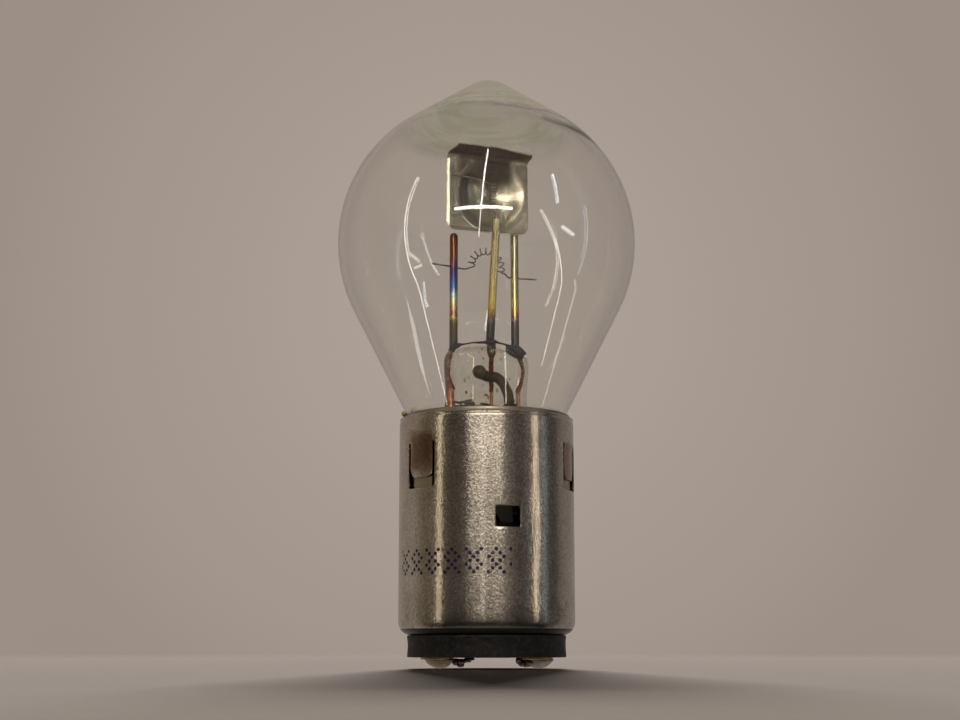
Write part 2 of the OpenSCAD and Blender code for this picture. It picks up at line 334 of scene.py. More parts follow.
def envelope_glass():
    n = Nodes("envelope_glass")
    plain = (0.935, 0.935, 0.915)
    # the drawn tip is thick soda glass, with green streaks round it
    stretched = n.vector("MULTIPLY", n.place, (0.10, 0.10, 0.85))
    streak = n.ramp(n.noise(1.0, 2.0, 0.5, stretched), [(0.40, 0.0), (0.55, 1.0)])
    depth = n.times(n.span(n.z, 61.5, 66.0), n.math("MULTIPLY_ADD", streak, 0.6, 0.4))
    colour = n.mix(depth, plain, (0.78, 0.86, 0.68))
    glass = n.surface(colour, 0.0, IOR=1.5, Transmission_Weight=1.0)
    # most light is let straight through the tip, which otherwise renders far darker than the photo
    thin = n.noise(1.0, 2.0, 0.55, n.vector("MULTIPLY", n.place, (0.11, 0.11, 2.0)))
    within = n.minus(n.span(n.z, 62.6, 63.6), n.span(n.z, 66.3, 67.4))
    line = n.times(n.span(thin, 0.50, 0.64), within)
    tint = n.mix(depth, (0.97, 0.97, 0.95), (0.915, 0.94, 0.875))
    straight_on = n.clear(n.mix(line, tint, (0.80, 0.86, 0.74)))
    glass = n.mix_shaders(n.span(n.z, 61.8, 64.2, 0.0, 0.86), glass, straight_on)
    return n.finish(shadow_free(n, glass, (0.975, 0.975, 0.96)))


def stem_glass():
    n = Nodes("stem_glass")
    faint = n.noise(0.8, 3.0, 0.6)
    colour = n.mix(n.span(faint, 0.35, 0.7), (0.93, 0.94, 0.90), (0.86, 0.86, 0.76))
    glass = n.surface(colour, 0.0, IOR=1.5, Transmission_Weight=1.0)
    return n.finish(shadow_free(n, glass, (0.9, 0.9, 0.86)))


def smoke():
    """Brown smoke stain on the wall of the vent."""
    n = Nodes("smoke_stain")
    patch = n.noise(1.3, 3.0, 0.6)
    colour = n.mix(n.span(patch, 0.3, 0.7), (0.014, 0.008, 0.004), (0.060, 0.036, 0.018))
    cover = n.span(n.minus(patch, n.span(n.z, 32.8, 30.0, 0.0, 0.12)), 0.22, 0.42, 0.55, 0.98)
    return n.finish(n.mix_shaders(cover, n.clear((0.92, 0.88, 0.8)), n.surface(colour, 0.45)))


def residue():
    """The film the smoke left: dark above the cap's rim, brownish yellow below."""
    n = Nodes("stem_residue")
    stretched = n.vector("MULTIPLY", n.place, (0.8, 0.8, 1.6))
    patch = n.noise(0.7, 3.0, 0.65, stretched)
    height = n.span(n.z, 29.4, 31.3, 0.14, -0.10)
    cover = n.span(n.plus(patch, height), 0.50, 0.56, 0.0, 0.95)
    colour = n.mix(n.span(n.z, 28.5, 29.4), (0.20, 0.11, 0.015), (0.012, 0.010, 0.008))
    return n.finish(n.mix_shaders(cover, n.clear((1.0, 0.99, 0.95)), n.surface(colour, 0.4)))


def dark_coating():
    n = Nodes("getter_coating")
    patch = n.noise(1.6, 4.0, 0.6)
    colour = n.mix(n.span(patch, 0.3, 0.7), (0.009, 0.010, 0.014), (0.032, 0.034, 0.042))
    rough = n.span(patch, 0.2, 0.8, 0.35, 0.75)
    return n.finish(n.surface(colour, rough, normal=n.bump(n.noise(5.0, 3.0), 0.05)))


def post_metal(name, stops):
    """A nickel post, coloured along its height by heat. stops are (height, colour)."""
    n = Nodes(name)
    shift = n.math("MULTIPLY_ADD", n.noise(1.2, 2.0, 0.6), 1.4, -0.7)
    low, high = stops[0][0], stops[-1][0]
    at = n.math("DIVIDE", n.minus(n.plus(n.z, shift), low), high - low)
    colour = n.ramp(at, [((h - low) / (high - low), c) for h, c in stops])
    dull = n.span(n.z, 39.2, 40.6, 0.45, 0.09)
    grain = n.noise(7.0, 2.0, 0.6)
    return n.finish(n.surface(colour, n.math("MULTIPLY_ADD", grain, 0.12, dull), 1.0, n.bump(grain, 0.02)))


def copper(name, light, dark, rough):
    """Bare copper, with painted shade darkening it inside the cap."""
    n = Nodes(name)
    patch = n.noise(2.2, 4.0, 0.65)
    colour = n.mix(n.span(patch, 0.38, 0.62), dark, light)
    colour = n.mix(n.span(n.z, 19.0, 23.0, 0.9, 0.0), colour, (0.02, 0.010, 0.006))
    return n.finish(n.surface(colour, n.span(patch, 0.3, 0.7, rough + 0.2, rough), 1.0, n.bump(patch, 0.06)))


def seal_copper():
    """Copper-clad wire in the seal: borate red where the glass wets it, paler where it leaves the glass."""
    n = Nodes("seal_copper")
    patch = n.noise(2.6, 4.0, 0.65)
    middle = n.band(n.x, -1.5, 2.0, 0.3)
    up = n.math("DIVIDE", n.minus(n.z, 31.0), 6.0)
    outer = n.ramp(up,
                   [(0.0, (0.55, 0.24, 0.10)), (0.12, (0.26, 0.085, 0.035)), (0.45, (0.18, 0.060, 0.028)),
                    (0.62, (0.22, 0.11, 0.05)), (0.82, (0.22, 0.16, 0.09)), (1.0, (0.16, 0.14, 0.10))])
    inner = n.ramp(up,
                   [(0.0, (0.42, 0.13, 0.07)), (0.10, (0.20, 0.015, 0.012)), (0.62, (0.13, 0.012, 0.010)),
                    (0.76, (0.20, 0.05, 0.03)), (0.86, (0.24, 0.20, 0.13)), (1.0, (0.30, 0.27, 0.19))])
    colour = n.mix(middle, outer, inner)
    colour = n.mix(n.span(patch, 0.56, 0.72, 0.0, 0.8), colour, (0.035, 0.012, 0.008))
    return n.finish(n.surface(colour, n.span(patch, 0.3, 0.7, 0.16, 0.4), 0.9, n.bump(patch, 0.10)))


def tungsten():
    n = Nodes("tungsten")
    grain = n.noise(9.0, 2.0)
    colour = n.mix(grain, (0.16, 0.15, 0.14), (0.42, 0.40, 0.37))
    return n.finish(n.surface(colour, 0.34, 1.0, n.bump(grain, 0.01)))


def shield_metal():
    n = Nodes("shield_metal")
    cloud = n.noise(0.5, 3.0, 0.6)
    colour = n.mix(n.span(cloud, 0.3, 0.7), (0.42, 0.385, 0.30), (0.52, 0.475, 0.385))
    flap = n.span(n.z, 59.2, 59.8)
    # painted shade: the top of the dish is painted nearly black
    black = n.times(n.span(n.z, 54.9, 57.2), n.band(n.x, -3.2, 3.0, 0.5), n.span(cloud, 0.25, 0.6, 0.65, 0.9))
    colour = n.mix(black, colour, (0.085, 0.065, 0.042))
    colour = n.mix(flap, colour, (0.12, 0.095, 0.065))
    fine = n.noise(4.0, 3.0, 0.6)
    rough = n.math("MULTIPLY_ADD", fine, 0.10, n.math("MULTIPLY_ADD", flap, 0.04, 0.17))
    return n.finish(n.surface(colour, rough, 1.0, n.bump(fine, 0.006)))


def cap_plating():
    n = Nodes("cap_plating")
    turn = n.around_axis()
    cloud = n.noise(0.35, 4.0, 0.6)
    colour = n.mix(n.span(cloud, 0.3, 0.72), (0.43, 0.395, 0.345), (0.52, 0.485, 0.435))
    # heat colours round the first weld tongue
    edge = n.math("MULTIPLY_ADD", n.noise(0.7, 3.0), 2.4, -1.2)
    across = n.math("ABSOLUTE", n.plus(n.plus(turn, 47.0), n.times(edge, 3.0)))
    height = n.plus(n.z, edge)
    burnt = n.times(n.span(across, 8.0, 15.0, 1.0, 0.0), n.band(height, 21.6, 25.9, 0.7))
    core = n.times(n.span(across, 6.0, 10.0, 1.0, 0.0), n.band(height, 22.6, 24.9, 0.6))
    straw = n.times(n.span(across, 14.0, 22.0, 1.0, 0.0), n.band(height, 19.6, 27.6, 1.0))
    # the second tongue, and painted shade, near black, in the gaps on both sides of it
    side = n.math("ABSOLUTE", n.minus(turn, 72.0))
    second = n.times(n.span(side, 9.5, 11.0, 1.0, 0.0), n.band(n.z, 20.8, 25.0, 0.3))
    gaps = n.times(n.band(side, 9.6, 13.4, 0.4), n.band(n.z, 19.9, 25.0, 0.2))
    # dull blotches along the lower corner, and painted shade darkening the front of it; dull blotches
    # along the lower corner, and a darker front of it, which brings it near the photo's tone
    low = n.times(n.band(n.z, 4.6, 7.6, 0.9), n.span(n.noise(0.9, 4.0, 0.7), 0.45, 0.62))
    painted_corner_shade = n.times(n.span(n.z, 4.0, 6.9, 1.0, 0.0), n.band(turn, -31.0, 40.0, 4.0))
    marks = ((burnt, 0.85, (0.135, 0.075, 0.040)), (core, 0.75, (0.115, 0.055, 0.060)),
             (straw, 0.22, (0.33, 0.24, 0.11)), (second, 0.85, (0.20, 0.12, 0.095)),
             (gaps, 0.95, (0.010, 0.008, 0.006)), (low, 0.35, (0.14, 0.12, 0.10)),
             (painted_corner_shade, 0.90, (0.065, 0.060, 0.058)))
    for cover, share, tone in marks:
        colour = n.mix(n.times(cover, share), colour, tone)
    # a plain printed pattern: blocks of dots in a diamond lattice
    pitch, print_foot, rows, reach = 0.41, 10.15, 7.0, (-70.0, 16.0)
    repeat, block_pitch, block_width, dot_size = 4.0, 6.0, 4.5, 0.26
    across_dots = n.math("DIVIDE", n.times(turn, CAP_R * math.pi / 180), pitch)
    up_dots = n.math("DIVIDE", n.minus(n.z, print_foot), pitch)
    column, row = n.math("FLOOR", across_dots), n.math("FLOOR", up_dots)
    dx = n.minus(n.math("FRACT", across_dots), 0.5)
    dy = n.minus(n.math("FRACT", up_dots), 0.5)
    dot = n.math("LESS_THAN", n.plus(n.times(dx, dx), n.times(dy, dy)), dot_size)
    rising = n.math("FLOORED_MODULO", n.plus(column, row), repeat)
    falling = n.math("FLOORED_MODULO", n.minus(column, row), repeat)
    lattice = n.math("LESS_THAN", n.math("MINIMUM", rising, falling), 0.5)
    block = n.math("LESS_THAN", n.math("FLOORED_MODULO", column, block_pitch), block_width)
    faded = n.span(n.noise(1.4, 2.0), 0.26, 0.34, 0.5, 1.0)
    ink = n.times(dot, lattice, block, n.band(up_dots, 0.0, rows, 0.01), n.band(turn, *reach, 0.2), faded)
    colour = n.mix(ink, colour, (0.014, 0.005, 0.028))
    # painted shade: the inside of the shell is painted dark, and it is duller
    within = n.span(n.radius(), 9.74, 9.78, 1.0, 0.0)
    colour = n.mix(within, colour, (0.020, 0.018, 0.016))
    fine = n.noise(3.8, 2.0, 0.6)
    colour = n.vector("MULTIPLY", colour, n.span(fine, 0.30, 0.70, 0.78, 1.18))
    rough = n.plus(n.math("MULTIPLY_ADD", fine, 0.10, 0.16), n.times(ink, 0.3))
    rough = n.plus(rough, n.times(n.math("MAXIMUM", burnt, within), 0.15))
    normal = n.bump(fine, 0.016)
    metal = n.minus(1.0, n.times(ink, 0.8))
    # fine scratches run round the drawn shell, so its gloss spreads up and down
    round_axis = n.add("Tangent", None, direction_type="RADIAL", axis="Z").outputs[0]
    return n.finish(n.surface(colour, rough, metal, normal, Tangent=round_axis, Anisotropic=0.75,
                              Anisotropic_Rotation=0.25))


def sheet_metal(name, a, b, rough, slits=False):
    """Softly mottled metal. slits adds painted shade, black where the gaps beside the weld tongues show it."""
    n = Nodes(name)
    patch = n.noise(1.1, 4.0, 0.6)
    colour = n.mix(n.span(patch, 0.35, 0.65), a, b)
    if slits:
        turn, slit = n.around_axis(), 0.0
        for angle in (-60.5, -35.5, 59.5, 84.5):
            slit = n.math("MAXIMUM", slit, n.band(turn, angle - 3.5, angle + 3.5, 0.6))
        colour = n.mix(n.times(slit, n.band(n.z, 19.5, 25.2, 0.3)), colour, (0.008, 0.007, 0.006))
    gloss = n.span(patch, 0.3, 0.7, rough, rough + 0.2)
    return n.finish(n.surface(colour, gloss, 1.0, n.bump(n.noise(5.0, 2.0), 0.01)))


def cement():
    n = Nodes("cement")
    grit = n.noise(3.0, 6.0, 0.7)
    colour = n.mix(n.span(grit, 0.3, 0.7), (0.16, 0.12, 0.08), (0.36, 0.30, 0.22))
    return n.finish(n.surface(colour, 0.9, normal=n.bump(grit, 0.15)))


def black_plate():
    n = Nodes("black_plate")
    cloud = n.noise(0.8, 5.0, 0.7)
    stretched = n.vector("MULTIPLY", n.place, (2.2, 2.2, 0.35))
    scuff = n.span(n.noise(1.0, 4.0, 0.7, stretched), 0.60, 0.74)
    worn = n.times(n.span(n.radius(), 8.7, 8.93), n.span(n.noise(1.7, 4.0, 0.7), 0.5, 0.62))
    colour = n.mix(n.span(cloud, 0.3, 0.7), (0.003, 0.003, 0.0035), (0.007, 0.007, 0.0075))
    colour = n.mix(n.times(scuff, 0.35), colour, (0.030, 0.029, 0.027))
    colour = n.mix(n.times(worn, 0.2), colour, (0.06, 0.04, 0.025))
    rough = n.span(cloud, 0.3, 0.7, 0.45, 0.65)
    normal = n.bump(n.noise(3.5, 4.0, 0.7), 0.05)
    return n.finish(n.surface(colour, rough, normal=normal, Specular_IOR_Level=0.2))


def solder(name, pale, dark, tint, spread):
    """Solder under a film of set flux."""
    n = Nodes(name)
    patch = n.noise(0.9, 3.0, 0.6)
    colour = n.mix(n.span(patch, 0.4, 0.6), pale, dark)
    spots = n.span(n.noise(1.8, 4.0, 0.7), spread, spread + 0.1)
    colour = n.mix(n.times(spots, 0.85), colour, tint)
    rough = n.span(patch, 0.3, 0.7, 0.12, 0.3)
    return n.finish(n.surface(colour, rough, 0.15, n.bump(n.noise(1.6, 3.0), 0.05), Coat_Weight=0.8,
                              Coat_Roughness=0.08))


# ---- glass envelope

def envelope():
    tip_apex = BULB_Z + BULB_R / math.sin(math.radians(UPPER_CONE))
    tip_r = (tip_apex - TIP_Z) / (1 / math.sin(math.radians(UPPER_CONE)) - 1)
    tip_z = tip_apex - tip_r / math.sin(math.radians(UPPER_CONE))

    def side(r, neck):
        """The neck and the cone above it, up to where the ball of radius r begins."""
        s, c = math.sin(math.radians(LOWER_CONE)), math.cos(math.radians(LOWER_CONE))
        joint = (r * c, BULB_Z - r * s)
        cone_foot = (neck, joint[1] - (joint[0] - neck) * c / s)
        return straight((neck, NECK_FOOT), cone_foot, 6) + straight(cone_foot, joint, 24)

    outer = side(BULB_R, NECK_R) + arc((0, BULB_Z), BULB_R, -LOWER_CONE, UPPER_CONE, 90)
    outer += arc((0, tip_z), tip_r, UPPER_CONE, 90, 24)[1:]
    inner_r = BULB_R - WALL
    inner = side(inner_r, NECK_R - WALL) + arc((0, BULB_Z), inner_r, -LOWER_CONE, 90, 130)

    def drawn(p):
        """The outside near the tip leans and ripples a little, as hot glass does when it is drawn off."""
        x, y, z = p
        lift = smooth(z, 60.0, 67.0)
        r = math.hypot(x, y)
        ripple = 0.03 * wobble((x * 0.5, y * 0.5, z * 2.2), 2.6, 3.1) * lift * smooth(r, 0.0, 1.5)
        k = 1 + ripple / max(r, 0.8)
        return (x * k + 0.25 * lift, y * k, z)

    def inside(p):
        """The inside is thickest at the tip, with soft rings in it."""
        x, y, z = p
        lift = smooth(z, 59.0, 65.0)
        a = math.atan2(y, x)
        uneven = 0.30 * math.cos(a - 0.3) * smooth(math.hypot(x, y), 0, 5)
        drop = lift * (0.05 + uneven + 0.12 * wobble((x, y, z * 2), 3.2, 1.7))
        ring = 0.05 * lift * math.sin(math.hypot(x - 1.0, y) * 2.6 + 1.2 * math.cos(a))
        return (x, y, z - drop + ring)

    shape = Shape().lathe(outer, 200, warp=drawn)
    shape.lathe(inner, 200, warp=inside)
    # the ring that closes the neck's foot
    shape.grid([circle(r, NECK_FOOT, 200) for r in (NECK_R, NECK_R - WALL)])
    return piece(shape.make("envelope", [envelope_glass()]), "glass", "glass_bulb")


# ---- stem

def press_top(u):
    return PRESS_TOP - PRESS_ARCH + math.sqrt(PRESS_ARCH ** 2 - u * u)


def stem():
    segments, rows = 160, []
    # the press: half its thickness, its top edge's radius, where its top begins, and how square it is
    half, edge, low, square = 1.85, 1.0, 35.0, 3.5

    def ring(a, b, power, height):
        """A closed row round the stem, from an ellipse at power 2 to nearly a rectangle above it."""
        row = []
        for j in range(segments):
            t = 2 * math.pi * j / segments
            c, s = math.cos(t), math.sin(t)
            u = a * math.copysign(abs(c) ** (2 / power), c)
            v = b * math.copysign(abs(s) ** (2 / power), s)
            row.append(yawed((u, v, height(u) if callable(height) else height)))
        return row

    inner = [(0.0, 27.4), (0.8, 27.35), (1.7, 27.1), (2.6, 26.7), (3.5, 26.1), (4.1, 25.5), (4.35, 24.7)]
    inner += [(4.35, z) for z in (23.5, 22.3, 21.2)] + [(4.45, 20.2), (4.9, 19.2), (5.6, 18.5), (6.4, 17.9)]
    rows += [ring(r, r, 2.0, z) for r, z in inner]
    flare = [(7.0, 17.9), (7.0, 18.58), (6.2, 19.0), (5.5, 19.8), (5.05, 20.8)]
    rows += [ring(r, r, 2.0, z) for r, z in flare]
    for z in np.arange(21.6, low, 0.45):
        pinch = smooth(z, 24.6, 29.6)
        width = STEM_R - 0.16 * bell(z, 31.2, 1.6) + 0.08 * bell(z, 34.4, 1.5)
        rows.append(ring(width, STEM_R + (half - STEM_R) * pinch, 2.0 + (square - 2.0) * pinch, z))
    wide = STEM_R + 0.05
    for k in range(1, 8):
        rows.append(ring(wide, half, square, lambda u, s=k / 7: low + (press_top(u) - edge - low) * s))
    for k in range(1, 8):
        b = math.radians(90 * k / 7)
        inset = 1 - math.cos(b)
        rows.append(ring(wide - 0.9 * inset, half - inset, square,
                         lambda u, b=b: press_top(u) - edge + math.sin(b)))
    for b in (0.6, 0.3, 0.0):
        rows.append(ring(STEM_R - 0.85, b, square, press_top))
    shape = Shape().grid(rows)
    # the vent's stained wall, open at the front of the press and leading back to the exhaust tube
    vent = [(-0.85, -2.32, 33.5), (-0.75, -1.6, 33.4), (0.0, -0.7, 33.15), (1.0, 0.1, 33.15),
            (1.7, 0.6, 32.5), (2.15, 0.9, 31.5), (2.3, 1.2, 30.2), (2.1, 1.6, 28.0), (1.7, 1.85, 25.6)]
    path = spline(vent, 8)
    radii = np.interp(np.arange(len(path)), [0, 8, 34, len(path)], [0.80, 0.62, 0.62, 0.56])
    shape.tube(path, radii, 20, mat=1, rough=0.08, grain=0.8)
    # the film the smoke left in the press, just above the cap's rim
    across = np.linspace(-4.0, 3.9, 44)
    sheet = [[yawed((u, 1.1 + 0.3 * math.sin(u), z)) for u in across] for z in np.linspace(28.4, 31.5, 16)]
    shape.grid(sheet, wrap=False, mat=2)
    # residue round the inside of the stem's foot
    shape.grid([circle(4.28, z, 96) for z in np.linspace(24.6, 25.6, 4)], mat=2)
    # small bubbles left in the press
    bubbles = ((-3.0, -0.9, 32.6, 0.16), (-2.6, -1.0, 32.9, 0.10), (-2.8, -0.7, 31.2, 0.12),
               (-2.2, -0.6, 30.9, 0.09), (-1.4, -1.1, 35.9, 0.08), (-1.0, -0.9, 36.3, 0.07),
               (1.3, -1.0, 35.3, 0.13), (0.9, -0.8, 31.6, 0.16), (-0.9, -1.1, 35.2, 0.08),
               (-0.6, 0.4, 32.2, 0.10), (-1.9, -0.8, 35.6, 0.06), (2.4, -0.9, 33.0, 0.07))
    for k, (u, v, z, r) in enumerate(bubbles):
        ends = [yawed((u, v, z - 0.5 * r)), yawed((u, v, z + 0.5 * r))]
        shape.tube(ends, r, 10, mat=1 if k % 3 == 2 else 0)
    return piece(shape.make("stem", [stem_glass(), smoke(), residue()]), "stem_glass", "stem_press")


def exhaust():
    shape = Shape()
    x, y, _ = yawed((2.2, 1.2, 0))
    outer, inner, levels = 1.4, 0.9, (14, 18, 22, 25.38)
    profile = [(0.01, 11.6)] + arc((0, 12.5), inner, -80, 0, 8) + [(inner, z) for z in levels]
    profile += [(outer, z) for z in reversed(levels)] + arc((0, 12.4), outer, 0, -90, 10)
    shape.lathe([(max(r, 0.0), z) for r, z in profile], 48, warp=lambda p: (p[0] + x, p[1] + y, p[2]))
    return piece(shape.make("exhaust", [bpy.data.materials["stem_glass"]]), "stem_glass", "exhaust_tube")


def coating():
    """Dark film along the top of the press, thicker round the posts and pooled at the right."""
    rows = []
    for u in np.linspace(-4.45, 4.72, 90):
        end = min(1.0, (u + 4.5) * 3, math.sqrt(max(4.77 - u, 0.0) * 1.1))
        z = press_top(u)
        rise = 0.10 + 0.42 * bell(u, -4.05, 0.62) + 0.55 * bell(u, 0.37, 0.62) + 0.45 * bell(u, 3.6, 0.75)
        drip = 0.05 + 0.45 * smooth(u, -2.5, -1.2) * smooth(u, 0.6, 0.0)
        drip += 1.10 * smooth(u, 0.9, 3.2) - 1.0 * smooth(u, 3.9, 4.75)
        drip += 0.10 * wobble((u, 0, 0), 0.7, 2.0) + 0.35 * bell(u, -4.05, 0.5)
        row = []
        for k in range(20):
            t = 2 * math.pi * k / 20
            v = 1.5 * math.cos(t) * math.sqrt(max(end, 0.02))
            reach = rise if math.sin(t) > 0 else max(drip, 0.04)
            rim_z = z + reach * math.sin(t) * max(end, 0.05) + 0.02
            row.append(yawed((u, v - 0.25 * max(0, -math.sin(t)), rim_z)))
        rows.append(row)
    shape = Shape().grid(rows)
    for row in (rows[0], rows[-1]):
        centre = tuple(np.mean(np.array(row), axis=0))
        shape.grid([row, [centre] * len(row)])
    return piece(shape.make("coating", [dark_coating()]), "coating", "getter_coating")


# ---- posts and wires

def post(name, points, slot, material, node):
    path = spline(points, 10) if len(points) > 2 else np.linspace(points[0], points[1], 14)
    shape = Shape().tube([yawed(p) for p in path], 0.475, 28, rough=0.012, grain=1.5)
    return piece(shape.make(name, [material]), slot, node)


def posts():
    grey = (0.055, 0.055, 0.060)
    cold = [(35.5, grey), (39.4, (0.085, 0.083, 0.080))]
    heat = post_metal("heat_tinted_post", [
        (35.5, grey), (37.0, (0.075, 0.070, 0.055)), (39.0, (0.10, 0.08, 0.045)),
        (39.6, (0.13, 0.10, 0.04)), (40.1, (0.42, 0.30, 0.07)), (40.6, (0.34, 0.11, 0.16)),
        (41.1, (0.42, 0.30, 0.12)), (42.0, (0.50, 0.46, 0.28)), (42.7, (0.30, 0.40, 0.46)),
        (43.6, (0.030, 0.070, 0.20)), (45.0, (0.022, 0.028, 0.12)), (45.8, (0.060, 0.024, 0.085)),
        (46.5, (0.11, 0.032, 0.030)), (47.5, (0.15, 0.050, 0.016)), (49.9, (0.11, 0.036, 0.014))])
    gold = post_metal("nickel_post", [
        *cold, (40.1, (0.15, 0.10, 0.12)), (40.6, (0.32, 0.19, 0.07)), (41.6, (0.54, 0.43, 0.15)),
        (43.5, (0.52, 0.45, 0.22)), (46.5, (0.48, 0.425, 0.26)), (52.5, (0.40, 0.36, 0.25))])
    post("high_post", [(-4.05, 0, 36.1), (-4.05, 0, 49.6)], "post_heat", heat, "high_beam_post")
    # a paler, brighter copy of the nickel colours: a painted highlight on the middle post
    near = post_metal("painted_highlight_nickel_post", [
        *cold, (40.1, (0.20, 0.13, 0.14)), (40.6, (0.50, 0.30, 0.10)), (41.6, (0.78, 0.58, 0.15)),
        (43.5, (0.76, 0.63, 0.26)), (46.5, (0.68, 0.58, 0.31)), (52.5, (0.50, 0.44, 0.28))])
    post("low_post", [(0.37, 0, 36.1), (0.37, -2.4, 51.4)], "post_nickel", near, "low_beam_post")
    bent = [(3.6, 0, 36.1), (3.68, 0.28, 43.0), (3.75, 0.55, 49.8), (3.75, 0.55, 52)]
    post("common_post", bent, "post_nickel", gold, "common_post")


def wires():
    """Copper-clad seal wires in the press and the thin bright leads below them."""
    oxide = seal_copper()
    lead = copper("lead_copper", (0.66, 0.30, 0.17), (0.42, 0.14, 0.07), 0.25)
    runs = {
        "high": ([(-4.05, 0, 36.3), (-4.30, -0.05, 35.2), (-4.38, -0.05, 34.0), (-4.20, 0, 32.7),
                  (-3.95, 0, 31.7), (-4.02, 0, 31.45)], [0.30, 0.22, 0.17, 0.18, 0.22, 0.18]),
        "low": ([(0.37, 0, 36.6), (0.37, 0, 36.0), (0.35, 0, 35.3), (0.33, 0, 34.0),
                 (0.33, 0, 32.6), (0.35, 0, 31.5)], [0.56, 0.52, 0.28, 0.29, 0.28, 0.24]),
        "common": ([(3.62, 0, 36.0), (3.98, -0.05, 35.0), (4.12, -0.05, 34.0), (3.92, 0, 32.7),
                    (3.55, 0, 31.7), (3.58, 0, 31.45)], [0.34, 0.24, 0.18, 0.20, 0.27, 0.20]),
    }
    routes = {"high": [(-5.55, 0, 9.3), (-5.55, 0, 5.5), (-5.55, 0, 2.7)],
              "low": [(5.55, 0, 9.3), (5.55, 0, 5.5), (5.55, 0, 2.7)],
              "common": [(4.6, 1.67, 17.0), (6.6, 2.4, 16.7), (8.3, 3.02, 16.9), (8.85, 3.22, 17.75)]}
    for key, (points, radii) in runs.items():
        path = spline([yawed(p) for p in points], 8)
        thick = np.interp(np.linspace(0, 1, len(path)), np.linspace(0, 1, len(radii)), radii)
        shape = Shape().tube(path, thick, 18, rough=0.07, grain=0.45)
        piece(shape.make(f"{key}_seal", [oxide]), "copper_oxide", f"{key}_seal_wire")
        start = yawed(points[-1])
        down = [(start[0], start[1], z) for z in (31.6, 29.0, 26.0, 22.0, 18.6)]
        shape = Shape().tube(spline(down + routes[key], 8), 0.2, 14, rough=0.012, grain=0.6)
        piece(shape.make(f"{key}_lead", [lead]), "copper", f"{key}_lead_wire")


def filament(name, wire, coil, before, after, end_r, coil_r):
    """A coil with a lead on each side, drawn as one wire."""
    left = spline([*before, tuple(coil[0])], 6)[:-1]
    right = spline([tuple(coil[-1]), *after], 6)[1:]
    radii = [end_r] * len(left) + [coil_r] * len(coil) + [end_r] * len(right)
    shape = Shape().tube([yawed(p) for p in [*left, *coil, *right]], radii, 10)
    piece(shape.make(f"{name}_filament", [wire]), "tungsten", f"{name}_beam_filament")


def filaments():
    wire = tungsten()
    # the high beam's coil is bent into an arch
    centre, arch, r, turns, per_turn = np.array((0.05, 0.15, 46.4)), 1.85, 0.4, 10.5, 26
    coil = []
    for i in range(int(turns * per_turn) + 1):
        s = i / (turns * per_turn)
        beta = math.radians(185 - 207 * s)
        phi = math.radians(90 + 360 * turns * s)
        out = np.array((math.cos(beta), 0, math.sin(beta)))
        turned = out * math.cos(phi) + np.array((0, 1, 0)) * math.sin(phi)
        coil.append(centre + arch * out + r * turned)
    before = [(-6.4, 0.6, 46.35), (-5.0, 0.6, 46.25), (-3.4, 0.6, 46.1), (-2.5, 0.57, 46.0)]
    after = [(2.35, -0.1, 45.6), (3.1, 0.9, 45.5), (4.6, 1.05, 45.5), (6.7, 1.05, 45.55)]
    filament("high", wire, coil, before, after, 0.10, 0.075)

    # the low beam's coil stands upright, in front of the shield
    r, turns, (u, v, z), height = 0.36, 8, (0.3, -1.4, 53.2), 2.9
    coil = []
    for i in range(turns * per_turn + 1):
        s = i / (turns * per_turn)
        phi = math.radians(90 - 360 * turns * s)
        coil.append(np.array((u + r * math.cos(phi), v + r * math.sin(phi), z + height * (1 - s))))
    before = [(-4.5, -0.34, 57.15), (-3.9, -0.34, 57.0), (-2.0, -0.75, 56.75), (-0.6, -1.02, 56.35)]
    after = [(0.62, -1.15, 52.9), (0.58, -1.6, 52.3), (0.42, -1.72, 51.6), (0.40, -1.72, 51.2)]
    filament("low", wire, coil, before, after, 0.085, 0.085)


